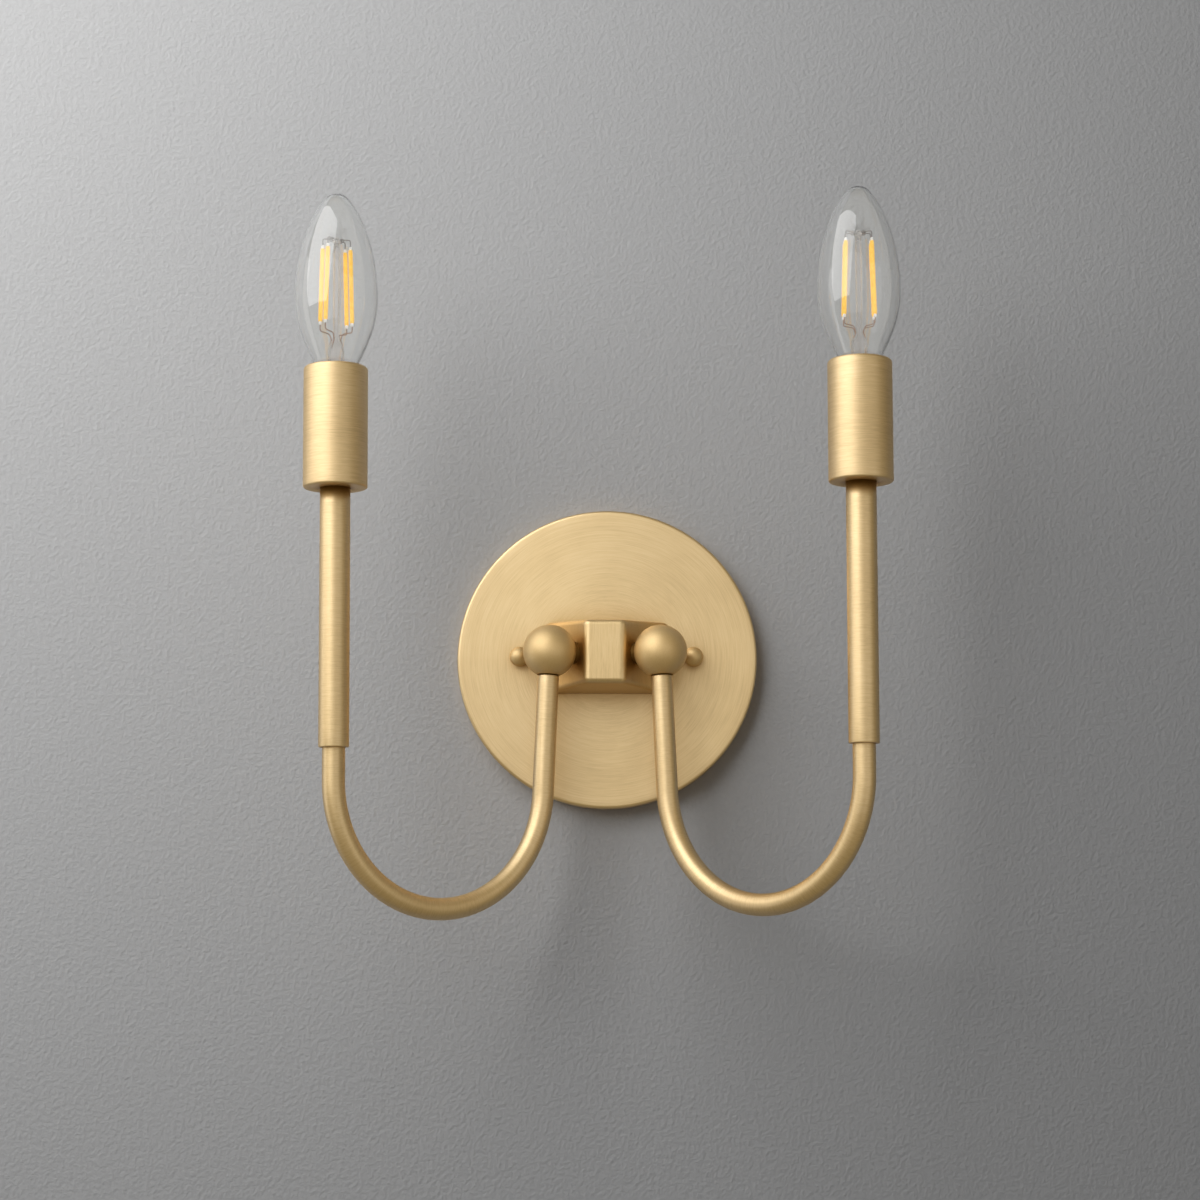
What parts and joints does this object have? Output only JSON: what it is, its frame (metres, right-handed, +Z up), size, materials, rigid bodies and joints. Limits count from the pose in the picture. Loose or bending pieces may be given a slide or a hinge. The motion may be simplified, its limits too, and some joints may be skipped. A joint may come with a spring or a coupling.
{
  "type": "double arm wall sconce",
  "caption": "Brass wall sconce: round back plate, faceted hub with balls, U-bent arms rising into candle tubes, cylindrical socket cups and clear candle bulbs with straight filaments.",
  "frame": {"origin": "on the wall plane, at the centre of the round back plate and of the bracket that it hangs on", "axes": "+Z up, -Y out of the wall into the room, +X to the right as seen from the room"},
  "size_m": [0.2552, 0.1268, 0.3079],
  "materials": {
    "brushed_brass": "satin",
    "zinc_steel": "satin",
    "green_screw": "satin",
    "bushing_nylon": "matte",
    "cap_nylon": "matte",
    "lampholder_black": "matte",
    "contact_brass": "satin",
    "lead_black": "matte",
    "lead_white": "matte",
    "bulb_glass": "clear",
    "bulb_base": "satin",
    "insulator_black": "gloss",
    "solder": "satin",
    "filament_yellow": "matte",
    "wire_metal": "bright"
  },
  "bodies": {
    "fixture": {"back_plate": "brushed_brass", "canopy_studs": "zinc_steel", "ground_screw": "green_screw", "hub": "brushed_brass", "hub_screws": "zinc_steel", "left_arm_tube": "brushed_brass", "left_ball": "brushed_brass", "left_ball_nipple": "zinc_steel", "left_candle_tube": "brushed_brass", "left_cup_nut": "zinc_steel", "left_hot_lead": "lead_black", "left_neutral_lead": "lead_white", "left_nipple_nut": "zinc_steel", "left_socket_body": "lampholder_black", "left_socket_contact": "contact_brass", "left_socket_cup": "brushed_brass", "left_socket_shell": "contact_brass", "mounting_bracket": "zinc_steel", "right_arm_tube": "brushed_brass", "right_ball": "brushed_brass", "right_ball_nipple": "zinc_steel", "right_candle_tube": "brushed_brass", "right_cup_nut": "zinc_steel", "right_hot_lead": "lead_black", "right_neutral_lead": "lead_white", "right_nipple_nut": "zinc_steel", "right_socket_body": "lampholder_black", "right_socket_contact": "contact_brass", "right_socket_cup": "brushed_brass", "right_socket_shell": "contact_brass", "splice_caps": "cap_nylon", "stud_lock_nuts": "zinc_steel", "wire_bushing": "bushing_nylon"},
    "left_bulb_lift": {"left_bulb_contact": "solder"},
    "left_bulb": {"left_bulb_base": "bulb_base", "left_bulb_insulator": "insulator_black", "left_bulb_glass": "bulb_glass", "left_bulb_stem": "bulb_glass", "left_bulb_filaments": "filament_yellow", "left_bulb_wires": "wire_metal"},
    "left_nut_slide": {"left_nut_washer": "brushed_brass"},
    "left_nut": {"left_ball_nut": "brushed_brass"},
    "right_bulb_lift": {"right_bulb_contact": "solder"},
    "right_bulb": {"right_bulb_base": "bulb_base", "right_bulb_insulator": "insulator_black", "right_bulb_glass": "bulb_glass", "right_bulb_stem": "bulb_glass", "right_bulb_filaments": "filament_yellow", "right_bulb_wires": "wire_metal"},
    "right_nut_slide": {"right_nut_washer": "brushed_brass"},
    "right_nut": {"right_ball_nut": "brushed_brass"}
  },
  "joints": [
    {"name": "left_bulb_rise", "type": "slide", "parent": "fixture", "child": "left_bulb_lift", "axis": [-0.0135, -0.011, 0.9998], "range_m": [0, 0.01524]},
    {"name": "left_bulb_turn", "type": "hinge", "parent": "left_bulb_lift", "child": "left_bulb", "pos_m": [-0.11149, -0.10746, 0.08506], "axis": [-0.0135, -0.011, 0.9998], "range_deg": [0, 2178]},
    {"name": "left_nut_rise", "type": "slide", "parent": "fixture", "child": "left_nut_slide", "axis": [0, -1, 0], "range_m": [0, 0.00794]},
    {"name": "left_nut_turn", "type": "hinge", "parent": "left_nut_slide", "child": "left_nut", "pos_m": [-0.0396, -0.0086, 0], "axis": [0, -1, 0], "range_deg": [0, 3636]},
    {"name": "right_bulb_rise", "type": "slide", "parent": "fixture", "child": "right_bulb_lift", "axis": [0, 0, 1], "range_m": [0, 0.01524]},
    {"name": "right_bulb_turn", "type": "hinge", "parent": "right_bulb_lift", "child": "right_bulb", "pos_m": [0.1079, -0.10926, 0.087], "axis": [0, 0, 1], "range_deg": [0, 2178]},
    {"name": "right_nut_rise", "type": "slide", "parent": "fixture", "child": "right_nut_slide", "axis": [0, -1, 0], "range_m": [0, 0.00794]},
    {"name": "right_nut_turn", "type": "hinge", "parent": "right_nut_slide", "child": "right_nut", "pos_m": [0.0396, -0.0086, 0], "axis": [0, -1, 0], "range_deg": [0, 3636]}
  ],
  "couplings": [
    {"joint": "left_bulb_turn", "follows": "left_bulb_rise", "rad_per_m": 2473.7},
    {"joint": "left_nut_turn", "follows": "left_nut_rise", "rad_per_m": 7915.8},
    {"joint": "right_bulb_turn", "follows": "right_bulb_rise", "rad_per_m": 2473.7},
    {"joint": "right_nut_turn", "follows": "right_nut_rise", "rad_per_m": 7915.8}
  ]
}
